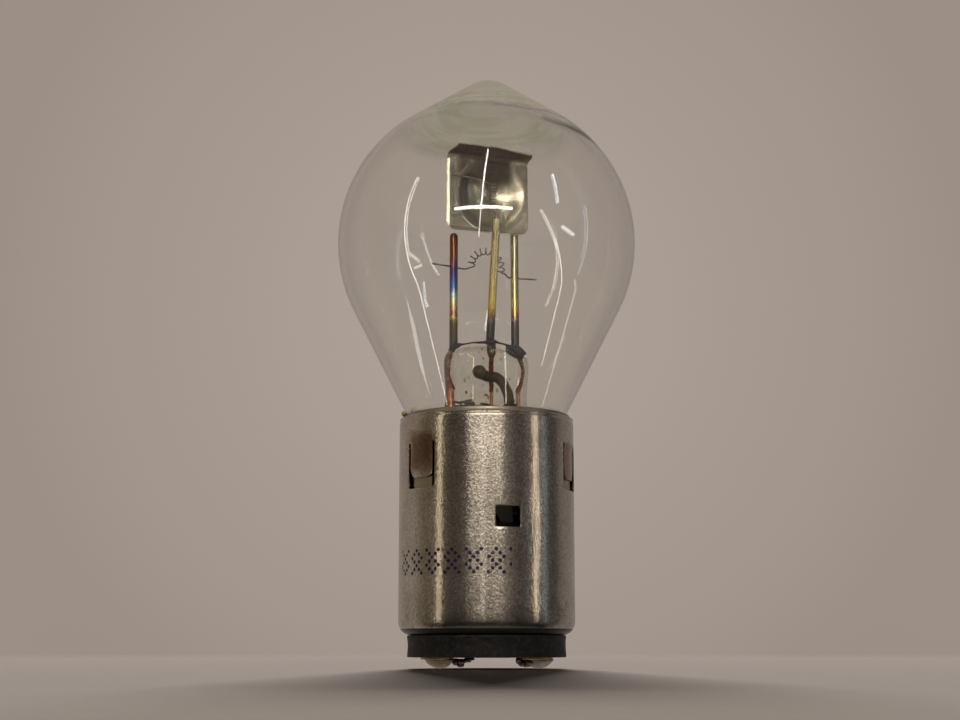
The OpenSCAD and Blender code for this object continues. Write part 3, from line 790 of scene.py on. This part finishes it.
def shield():
    """A dished sheet with a flap bent forward at the top."""
    half, mid, front = 5.075, 0.1, -0.2
    low, fold, sheet, corner = 50.5, 59.5, 0.25, 1.1
    # the dish is the back of an ellipsoid, and its lip is rounded over blend
    dish_u, dish_z, half_width, half_height, depth, middle, blend = 0.37, 55.05, 6.2, 6.75, 6.2, -4.9, 0.48

    def dish(u, z):
        a, b = (u - dish_u) / half_width, (z - dish_z) / half_height
        bowl = middle + depth * math.sqrt(max(1 - a * a - b * b, 0.0))
        share = min(max(0.5 + 0.5 * (bowl - front) / blend, 0.0), 1.0)
        curl = 0.14 * (smooth(u, -4.55, -5.0) ** 2 + smooth(z, 51.0, 50.5) ** 2 * smooth(u, 1.0, -2.0))
        return front + (bowl - front) * share + blend * share * (1 - share) + curl

    columns = np.linspace(-1, 1, 121)
    rows = []
    start = low + corner
    heights = list(low + corner * (1 - np.cos(np.linspace(0, math.pi / 2, 14))))
    heights += list(np.linspace(start, fold - 0.35, 92))[1:]
    for z in heights:
        cut = corner - math.sqrt(max(corner ** 2 - (start - z) ** 2, 0.0)) if z < start else 0.0
        row = []
        for c in columns:
            u = mid + (half - cut) * c
            row.append((u, dish(u, z), z))
        rows.append(row)
    # the flap: bent forward at the fold, narrowed at the left and sagging to the right
    for k in range(1, 25):
        s = k / 24
        bend = smooth(s, 0.0, 0.25)
        row = []
        for c in columns:
            left = 0.95 * smooth(s, 0.25, 1.0)
            a, b = -half + left, half + 0.16 * bell(s, 0.72, 0.3)
            u = mid + a + (b - a) * (c + 1) / 2
            reach = 1.55 * max(s - 0.10, 0.0) + 0.05 * bend
            sag = 0.42 * smooth(c, -0.1, 0.9) * bend
            rise = 0.42 * min(s / 0.25, 1.0) + (1.02 - sag) * max(s - 0.18, 0.0) / 0.82
            z = fold - 0.35 + rise + 0.05 * wobble((u, 0, 0), 1.4, 5)
            row.append((u, front - reach, z))
        rows.append(row)
    shape = Shape().grid([[yawed(p) for p in row] for row in rows], wrap=False)
    # the sheet's cut edges get a paler, brighter copy of its metal: a painted highlight along the edge
    edge = sheet_metal("shield_edge", (0.85, 0.78, 0.60), (0.70, 0.62, 0.45), 0.18)
    obj = shape.make("shield", [shield_metal(), edge])
    solid = obj.modifiers.new("sheet", "SOLIDIFY")
    solid.thickness, solid.offset, solid.material_offset_rim = sheet * MM, 0, 1
    bevel(obj, 0.11, 3, 50)
    bake(obj, 35)
    return piece(obj, "shield_sheet", "beam_shield")


def bevel(obj, width, segments, angle):
    """Rounds the edges that turn by more than angle."""
    edge = obj.modifiers.new("edge", "BEVEL")
    edge.width, edge.segments = width * MM, segments
    edge.limit_method, edge.angle_limit = "ANGLE", math.radians(angle)


def bake(obj, sharp):
    """Applies an object's modifiers and marks its sharp edges."""
    mesh = bpy.data.meshes.new_from_object(obj.evaluated_get(bpy.context.evaluated_depsgraph_get()))
    obj.modifiers.clear()
    obj.data = mesh
    bm = bmesh.new()
    bm.from_mesh(mesh)
    shade(bm, sharp)
    bm.to_mesh(mesh)
    bm.free()


# ---- cap

# angles counted from the front towards +X
TONGUES = (-48.0, 72.0, 192.0)
CATCHES = (13.5, 133.5, 253.5)
# where the wall's mesh is cut to unroll it
SEAM = 160.0


def outline(w, z0, z1, r, centre, n):
    """A rounded window's outline, unrolled: (arc length, height)."""
    x = w / 2 - r
    corners = ((x, z1 - r, 0), (-x, z1 - r, 90), (-x, z0 + r, 180), (x, z0 + r, 270))
    return [p for cx, cz, start in corners for p in arc((centre + cx, cz), r, start, start + 90, n)]


def slot_outline(centre):
    """The U-shaped slot that frees a weld tongue: round the outside, then back round the tongue."""
    w, z0, z1, r = 4.5, 19.7, 24.8, 0.5
    t, tz, tr = 3.75, 20.9, 0.9
    n = 6
    x, tx = w / 2 - r, t / 2 - tr
    out = [(-w / 2, z1), *arc((-x, z0 + r), r, 180, 270, n), *arc((x, z0 + r), r, 270, 360, n), (w / 2, z1)]
    out += [(t / 2, z1), *arc((tx, tz + tr), tr, 0, -90, n), *arc((-tx, tz + tr), tr, 270, 180, n)]
    return [(centre + u, z) for u, z in [*out, (-t / 2, z1)]]


def resample(loop, step):
    """The same loop, with points no further apart than step."""
    out = []
    for a, b in zip(loop, loop[1:] + loop[:1]):
        out += straight(a, b, max(1, math.ceil(math.dist(a, b) / step)))
    return out


def inside_loop(p, loop):
    """Whether a ray from p towards +X crosses the loop an odd number of times."""
    hit = False
    for (x0, y0), (x1, y1) in zip(loop, loop[1:] + loop[:1]):
        if (y0 > p[1]) != (y1 > p[1]) and p[0] < (x1 - x0) * (p[1] - y0) / (y1 - y0) + x0:
            hit = not hit
    return hit


def cap():
    per = CAP_R * math.pi / 180
    start = (SEAM - 360) * per
    count = 224
    width = 2 * math.pi * CAP_R
    low, high = FOOT_Z + FOOT_ROUND, RIM_Z - 0.12

    def where(angle):
        a = angle if angle < SEAM else angle - 360
        return a * per

    def beside(p, loop):
        """Whether a point could be in or near a hole. No hole is as wide as this."""
        return abs(p[0] - loop[0][0]) < 6.0

    def clear(p, loop):
        """Whether a point of the even mesh is far enough from a hole's edge to be kept."""
        return not beside(p, loop) or min(math.dist(p, q) for q in loop) > 0.13

    edge_step = 0.22
    loops = [resample(slot_outline(where(a)), edge_step) for a in TONGUES]
    loops += [resample(outline(2.8, 15.2, 17.5, 0.15, where(a), 3), edge_step) for a in CATCHES]
    points, edges = [], []
    levels = np.concatenate((np.linspace(low, 27.0, 76), np.linspace(27.15, high, 16)))
    for z in levels:
        for j in range(count + 1):
            p = (start + width * j / count, float(z))
            if z in (levels[0], levels[-1]) or all(clear(p, loop) for loop in loops):
                points.append(p)
    for loop in loops:
        base = len(points)
        points += loop
        edges += [(base + k, base + (k + 1) % len(loop)) for k in range(len(loop))]
    verts, _, faces, *_ = geometry.delaunay_2d_cdt([Vector(p) for p in points], edges, [], 0, 1e-6)

    def wall(s, z):
        """The point of the wall at an unrolled place, with the tongues sunk and the sheet slightly dented."""
        angle = s / per
        r = CAP_R
        for a in TONGUES:
            off = s - where(a)
            if abs(off) < 1.9 and 20.8 < z < 25.6:
                r -= 0.16 * smooth(z, 25.5, 24.0) * smooth(abs(off), 1.95, 1.80)
        near = bell(angle, 31.0, 6.0)
        r -= 0.035 * near * bell(z, 17.0, 2.2) - 0.02 * bell(angle, 38.0, 6.0) * bell(z, 13.0, 2.5)
        r -= 0.03 * bell(angle, 13.5, 13.0) * bell(z, 16.3, 2.4)
        r += 0.06 * bell(z, 28.35, 0.20) - 0.09 * bell(z, 27.85, 0.20)
        middle = smooth(z, low, low + 1) * smooth(z, high, high - 1)
        r += 0.010 * wobble(on_cap(angle, 10, z), 3.5, 1.0) * middle
        return on_cap(angle, r, z)

    shape = Shape()
    shape.verts = [wall(v[0], v[1]) for v in verts]
    for f in faces:
        c = sum((verts[i] for i in f), Vector((0, 0))) / len(f)
        if not any(inside_loop(c, loop) for loop in loops if beside(c, loop)):
            shape.faces.append(tuple(f))
            shape.mats.append(0)
    steps = [start + width * j / count for j in range(count)]

    def rings(profile):
        return [[on_cap(s / per, r, z) for s in steps] for r, z in profile]

    corner = arc((CAP_R - FOOT_ROUND, FOOT_Z + FOOT_ROUND), FOOT_ROUND, -90, 0, 14)[:-1]
    shape.grid(rings([(7.5, FOOT_Z), (7.9, FOOT_Z), *corner]) + [[wall(s, low) for s in steps]])
    rim = arc((CAP_R - 0.12, RIM_Z - 0.12), 0.12, 0, 80, 4)[1:]
    shape.grid([[wall(s, high) for s in steps]] + rings(rim))
    obj = shape.make("cap", [cap_plating()])
    solid = obj.modifiers.new("sheet", "SOLIDIFY")
    solid.thickness, solid.offset = WALL_SHEET * MM, -1
    bevel(obj, 0.045, 2, 55)
    bake(obj, 40)
    # the lips pressed inward from the catch windows' lower edges
    lip_foot, lip_length, lip_thick, tilt = 15.05, 0.9, 0.2, math.radians(38)
    turn = 1.25 / per
    lips = Shape()
    for a in CATCHES:
        rows = []
        for k in range(9):
            up = lip_length * k / 8
            lean = tilt * smooth(k / 8, 0.0, 0.4)
            r, z = CAP_R - 0.16 - up * math.sin(lean), lip_foot + up * math.cos(lean)
            front = [on_cap(a + turn * c, r, z) for c in np.linspace(-1, 1, 13)]
            back = [on_cap(a + turn * c, r - lip_thick, z - 0.05) for c in np.linspace(1, -1, 13)]
            rows.append(front + back)
        lips.grid(rows)
        for row in (rows[0], rows[-1]):
            lips.grid([row[:13], list(reversed(row[13:]))], wrap=False)
    join(obj, lips.make("lips", [], sharp=40))
    return piece(obj, "cap_plating", "cap_shell")


def join(keep, extra):
    """Adds extra's mesh to keep's and drops extra."""
    bm = bmesh.new()
    bm.from_mesh(keep.data)
    bm.from_mesh(extra.data)
    bm.to_mesh(keep.data)
    bm.free()
    bpy.data.objects.remove(extra)


def ferrule():
    r, t = 9.6, 0.3
    top_z, low = top("inner_ferrule"), foot("inner_ferrule")
    levels = (low, 20, 22, 24, 26, 27.6)
    profile = [(r, z) for z in levels] + [(r, top_z - 0.15)]
    profile += arc((r - 0.15, top_z - 0.15), 0.15, 0, 180, 10)
    profile += [(r - t, z) for z in reversed(levels)]

    def dent(p):
        k = 1 + 0.0016 * wobble(p, 3.0, 4.0)
        return (p[0] * k, p[1] * k, p[2])

    shape = Shape().lathe(profile, 192, close=True, warp=dent)
    # slits=True paints shade into the ferrule: black where the gaps beside the weld tongues show it
    metal = sheet_metal("ferrule_metal", (0.36, 0.31, 0.22), (0.30, 0.27, 0.22), 0.28, slits=True)
    return piece(shape.make("ferrule", [metal], sharp=60), "ferrule", "inner_ferrule")


def filling():
    out_r, in_r = 9.26, NECK_R + 0.03
    profile = [(in_r, 18.7), (out_r, 18.7), (out_r, 21), (out_r, 24), (out_r, 26.8)]
    profile += [(out_r - 0.8 * k / 8, 26.85) for k in range(9)]
    profile += [(8.45 + (in_r - 8.45) * k / 12, 26.9 + (24.1 - 26.9) * k / 12) for k in range(1, 13)]

    def lumpy(p):
        bump = 0.14 * wobble(p, 1.1, 7.0) * smooth(p[2], 23.5, 24.6)
        return (p[0], p[1], p[2] + bump - 0.02)

    shape = Shape().lathe(profile, 128, close=True, warp=lumpy)
    return piece(shape.make("filling", [cement()], sharp=50), "cement", "basing_cement")


def plate():
    r, top_z = PLATE_R, FOOT_Z - 0.02
    mid = (PLATE_FOOT + top_z) / 2
    profile = [(x, PLATE_FOOT) for x in (0.0, 3.0, 6.0, 8.0, r - 0.14)]
    profile += arc((r - 0.14, PLATE_FOOT + 0.14), 0.14, -90, 0, 5)[1:]
    profile += [(r - 0.05, mid - 0.5), (r - 0.08, mid), (r - 0.05, mid + 0.6), (r, top_z - 0.28)]
    profile += [(r + 0.02, top_z - 0.12), (r - 0.06, top_z), (8.2, top_z), (7.4, top_z), (7.4, 5.0)]
    profile += [(7.4, 6.5), (5.0, 6.5), (0.0, 6.5)]

    def worn(p):
        k = 1 + 0.0035 * wobble(p, 1.2, 9.0) * smooth(math.hypot(p[0], p[1]), 8.0, 8.8)
        return (p[0] * k, p[1] * k, p[2])

    shape = Shape().lathe(profile, 224, warp=worn)
    return piece(shape.make("plate", [black_plate()], sharp=50), "insulator", "insulator_plate")


def contacts():
    """Eyelets in the plate with a solder dome over each, and set flux beside the domes."""
    metal = sheet_metal("contact_brass", (0.55, 0.42, 0.16), (0.42, 0.30, 0.12), 0.25)
    left_solder = solder("flux_solder", (0.46, 0.39, 0.17), (0.34, 0.22, 0.035), (0.62, 0.58, 0.42), 0.57)
    right_solder = solder("pale_solder", (0.46, 0.44, 0.38), (0.34, 0.31, 0.25), (0.10, 0.05, 0.04), 0.58)
    flux = solder("burnt_flux", (0.22, 0.05, 0.03), (0.030, 0.015, 0.012), (0.50, 0.42, 0.28), 0.55)
    # set flux: distance towards the middle, depth, height and radius
    left_flux = ((1.95, 0.25, 0.72, 0.42), (2.55, -0.35, 0.80, 0.34), (3.15, 0.05, 0.92, 0.30),
                 (2.35, 0.1, 0.42, 0.30), (3.6, -0.3, 1.02, 0.20))
    right_flux = ((1.30, -0.9, 0.55, 0.42), (1.75, -0.35, 0.66, 0.46), (2.05, 0.2, 0.80, 0.36),
                  (0.95, -1.15, 0.80, 0.36), (2.2, -0.7, 0.95, 0.25))
    for side, x, material, spots in (("high", -5.55, left_solder, left_flux),
                                     ("low", 5.55, right_solder, right_flux)):
        node = f"contact_eyelet_{side}"
        low = foot(node)
        profile = [(0.75, low), (1.85, low), (1.9, low + 0.05), (1.9, PLATE_FOOT), (1.05, PLATE_FOOT),
                   (1.05, 4.0), (1.05, 6.5), (1.5, 6.5), (1.5, 6.72), (0.78, 6.75), (0.75, 4.0)]
        shape = Shape().lathe(profile, 48, close=True, warp=lambda p, x=x: (p[0] + x, p[1], p[2]))
        piece(shape.make(f"eyelet_{side}", [metal], sharp=40), "contact_brass", node)
        # the dome is a cap of a ball, standing a little to the right of its eyelet
        centre, r, h = x + 0.28, 1.72, low
        ball = (r * r + h * h) / (2 * h)
        reach = math.asin(r / ball)
        bows = [reach * k / 16 for k in range(17)]
        profile = [(ball * math.sin(b), ball - ball * math.cos(b)) for b in bows]
        profile += [(r - 0.05, h + 0.02), (0.8, h + 0.02), (0.7, 1.8), (0.6, 2.6), (0.0, 2.6)]

        def lump(p, c=centre):
            edge = smooth(math.hypot(p[0], p[1]), 0.2, 1.0) * smooth(p[2], 1.2, 0.9)
            k = 1 + 0.07 * wobble(p, 0.9, c) * edge
            return (p[0] * k + c, p[1] * k, p[2] + 0.05 * wobble(p, 0.7, c + 3) * edge)

        shape = Shape().lathe(profile, 64, warp=lump)
        inward = 1 if x < 0 else -1
        for dx, dy, z, size in spots:
            c = np.array((centre + inward * dx, dy, z))
            size = min(size, z - 0.03, 1.24 - z + size * 0.6)
            ends = [c - (0.16, 0, 0), c + (0.16, 0.05, 0)]
            shape.tube(ends, [size, size * 0.85], 16, mat=1, rough=0.10, grain=0.45)
        piece(shape.make(f"dome_{side}", [material, flux]), "solder", f"solder_dot_{side}")


def rim_solder():
    shape = Shape()
    material = solder("rim_solder", (0.30, 0.26, 0.06), (0.20, 0.17, 0.05), (0.40, 0.36, 0.16), 0.55)
    blobs = ((-77.5, 9.66, 28.62, 0.30), (-74.5, 9.62, 28.60, 0.22), (-71.5, 9.66, 28.56, 0.15),
             (-80.5, 9.62, 28.58, 0.20))
    for angle, r, z, size in blobs:
        c = np.array(on_cap(angle, r, z))
        shape.tube([c - (0, 0.12, 0), c + (0, 0.12, 0)], size, 14, rough=0.07, grain=0.35)
    return piece(shape.make("rim_solder", [material]), "solder", "ground_solder")


# ---- stage

def aim(azimuth, elevation):
    """Direction from the bulb, with azimuth counted from the front towards +X."""
    a, e = math.radians(azimuth), math.radians(elevation)
    return Vector((math.sin(a) * math.cos(e), -math.cos(a) * math.cos(e), math.sin(e)))


def strip(name, start, end, width, radiance, colour, on=None, far=1.2, dull=False):
    """A straight lamp between two directions, width in degrees. on holds the objects it lights.

    A dull lamp lights dull surfaces only. The others are seen only in reflections and through glass.
    """
    target = Vector((0, 0, 0.045))
    a, b = (target + far * aim(*d) for d in (start, end))
    light = bpy.data.lights.new(name, "AREA")
    light.shape, light.size, light.size_y = "RECTANGLE", (b - a).length, far * math.radians(width)
    light.color = colour
    light.energy = radiance * light.size * light.size_y * math.pi
    obj = bpy.data.objects.new(name, light)
    scene.collection.objects.link(obj)
    middle = (a + b) / 2
    along = (b - a).normalized()
    out = (middle - target).normalized()
    out = (out - along * out.dot(along)).normalized()
    across = out.cross(along)
    obj.matrix_world = Matrix.Translation(middle) @ Matrix((along, across, out)).transposed().to_4x4()
    obj.visible_camera = False
    obj.visible_diffuse = dull
    obj.visible_glossy = obj.visible_transmission = not dull
    if on:
        obj.light_linking.receiver_collection = on
    return obj


def reflected_only(obj):
    """Shows a lamp only to light that was reflected on its way."""
    obj.data.use_nodes = True
    tree = obj.data.node_tree
    once = tree.nodes.new("ShaderNodeMath")
    once.operation = "MINIMUM"
    once.inputs[1].default_value = 1.0
    tree.links.new(tree.nodes.new("ShaderNodeLightPath").outputs["Glossy Depth"], once.inputs[0])
    tree.links.new(once.outputs[0], tree.nodes["Emission"].inputs["Strength"])


def lamps():
    groups = {name: bpy.data.collections.new(name) for name in ("clear_glass", "metalwork", "bulb")}
    for obj in [o for o in scene.objects if o.type == "MESH"]:
        is_glass = obj.name in ("envelope", "stem", "exhaust")
        groups["clear_glass" if is_glass else "metalwork"].objects.link(obj)
        groups["bulb"].objects.link(obj)
    glass, metal = groups["clear_glass"], groups["metalwork"]
    warm, cool, white = (1.0, 0.84, 0.66), (0.80, 0.90, 1.0), (1.0, 0.94, 0.86)
    # streaks in the clear glass
    for name, start, end, width, radiance, colour in (
            ("left", (-61, 38), (-66, -42), 0.8, 13, white),
            ("right", (41, 14), (74, -34), 0.7, 13, white),
            ("right_top", (56, 20), (60, 40), 1.0, 16, cool),
            ("side", (81, 20), (81, -20), 1.2, 3.0, cool),
            ("bar", (-24, 13.5), (19, 13.5), 2.0, 30, white),
            ("tube", (2, 62), (-4, 14), 0.9, 20, white),
            ("tube_foot", (-4, 14), (-6, -8), 0.5, 12, white),
            ("patch_right", (58, 5), (69, 1), 2.4, 7, white),
            ("patch_left", (-62, -22), (-54, -22), 2.0, 7, white),
            ("low_left", (-90, -30), (-80, -30), 1.4, 5, white),
            ("low_right", (80, -24), (104, -33), 1.2, 4, white)):
        reflected_only(strip("glass_" + name, start, end, width, radiance, colour, glass))
    # glow and lines in the metal
    strip("metal_glow", (-24, 20), (22, 20), 17, 4.3, (1.0, 0.89, 0.76), metal)
    strip("metal_tube", (-4, 20), (-6, -12), 0.6, 4, white, metal)
    strip("metal_left", (-64, -18), (-63, 38), 0.8, 9, (1.0, 0.90, 0.68), metal)
    strip("metal_right", (67, -12), (66, 22), 1.0, 10, warm, metal)
    # dull surfaces: low light from behind, which throws the shadow forward, and a weak one from the front
    strip("key", (-8, 163), (8, 163), 6, 190, (1.0, 0.92, 0.86), far=5.0, dull=True)
    strip("fill", (-30, 8), (30, 8), 8, 14, (1.0, 0.93, 0.84), groups["bulb"], dull=True)


def world():
    """What surrounds the bulb.

    Seen directly it is a pale table. Surfaces outside the glass reflect a dim room in front of it, and metal
    inside the glass reflects a glow there as well.
    """
    scene.world = bpy.data.worlds.new("room")
    n = Nodes("room", scene.world)
    # seen directly: brightest ahead of the camera, falling off to the sides and below
    ahead = n.plus(n.times(n.y, 0.978), n.times(n.z, 0.208))
    fall = n.ramp(ahead, [(0.0, (0.34, 0.295, 0.26)), (0.80, (0.34, 0.29, 0.255)),
                          (0.955, (0.332, 0.272, 0.235)), (0.99, (0.388, 0.324, 0.284)),
                          (1.0, (0.418, 0.354, 0.314))])
    seen = n.vector("MULTIPLY", fall, n.span(n.z, -0.25, 0.06, 0.88, 1.0))
    # reflected: by azimuth from the front
    turn = n.math("DIVIDE", n.math("ARCTAN2", n.x, n.times(n.y, -1.0)), 2 * math.pi)
    table, room = (0.37, 0.312, 0.268), (0.085, 0.072, 0.062)
    stops = [(-180, (0.30, 0.255, 0.225)), (-150, (0.34, 0.285, 0.25)), (-108, table),
             (-97, (0.24, 0.20, 0.15)), (-86, (0.18, 0.15, 0.105)), (-70, (0.22, 0.18, 0.135)),
             (-58, (0.12, 0.10, 0.06)), (-48, room), (-32, (0.10, 0.085, 0.07)), (0, (0.12, 0.10, 0.08)),
             (18, (0.22, 0.19, 0.155)), (31, (0.20, 0.17, 0.145)), (40, (0.10, 0.085, 0.073)),
             (48, (0.10, 0.092, 0.085)), (56, (0.17, 0.155, 0.145)), (64, (0.18, 0.16, 0.14)),
             (72, (0.08, 0.075, 0.07)), (80, (0.36, 0.40, 0.42)), (87, (0.08, 0.078, 0.077)),
             (102, (0.10, 0.09, 0.085)), (112, (0.24, 0.205, 0.185)), (130, (0.28, 0.24, 0.215)),
             (180, (0.30, 0.255, 0.225))]
    around = n.ramp(n.plus(turn, 0.5), [((a + 180) / 360, c) for a, c in stops])
    around = n.mix(n.span(n.math("ABSOLUTE", n.z), 0.55, 0.95), around, (0.20, 0.17, 0.15))
    around = n.mix(n.span(n.z, -0.62, -0.85), around, (0.44, 0.38, 0.335))
    under = n.times(n.band(n.z, -0.66, -0.30, 0.12), n.span(n.y, 0.3, -0.1))
    around = n.mix(under, around, (0.05, 0.044, 0.04))
    # metal inside the envelope is reached through four glass faces and sees a glow in front; light turned
    # back within the glass passes another number of faces and sees mostly the table
    path = n.add("LightPath").outputs
    faces = path["Transmission Depth"]
    metal = n.band(faces, 3.5, 4.5, 0.1)
    off_axis = n.math("ABSOLUTE", n.plus(turn, 0.025))
    front = n.times(n.span(off_axis, 0.015, 0.085, 1.0, 0.0), n.band(n.z, -0.20, 0.38, 0.14))
    around = n.mix(n.times(front, metal), around, (0.95, 0.90, 0.80))
    around = n.vector("MULTIPLY", around, n.span(path["Diffuse Depth"], 0.0, 1.0, 1.0, 0.12))
    bounced = n.math("MINIMUM", n.plus(path["Glossy Depth"], path["Diffuse Depth"]), 1.0)
    turned = n.minus(n.span(faces, 0.4, 0.6), metal)
    bounced = n.times(bounced, n.math("MULTIPLY_ADD", turned, -0.8, 1.0))
    back = n.add("Background", {"Color": n.mix(bounced, seen, around), "Strength": 1.0})
    n.finish(back.outputs[0], "OutputWorld")


def floor():
    """A pale floor that fades into the surroundings."""
    n = Nodes("floor")
    colour = n.mix(n.noise(0.15, 3.0, 0.5), (0.62, 0.575, 0.545), (0.65, 0.60, 0.565))
    pale = n.surface(colour, 0.9, normal=n.bump(n.noise(2.0, 2.0), 0.03), Specular_IOR_Level=0.0)
    fade = n.span(n.radius(), 60, 330)
    material = n.finish(n.mix_shaders(fade, pale, n.clear((1.0, 1.0, 1.0))))
    shape = Shape().grid([circle(r, -0.01, 96) for r in (0.0, 20, 60, 120, 240, 400)])
    obj = shape.make("floor", [material])
    obj.visible_glossy = False
    return obj


def camera():
    data = bpy.data.cameras.new("camera")
    data.sensor_width, data.lens, data.clip_start = 36.0, 60.45, 0.01
    obj = bpy.data.objects.new("camera", data)
    scene.collection.objects.link(obj)
    obj.location = (-0.75 * MM, -184.5 * MM, 2.5 * MM)
    obj.rotation_euler = (math.radians(90 + 10.06), 0, 0)
    scene.camera = obj


envelope()
stem()
exhaust()
coating()
posts()
wires()
filaments()
shield()
cap()
ferrule()
filling()
plate()
contacts()
rim_solder()
world()
lamps()
floor()
camera()
scene.view_settings.view_transform = "Standard"
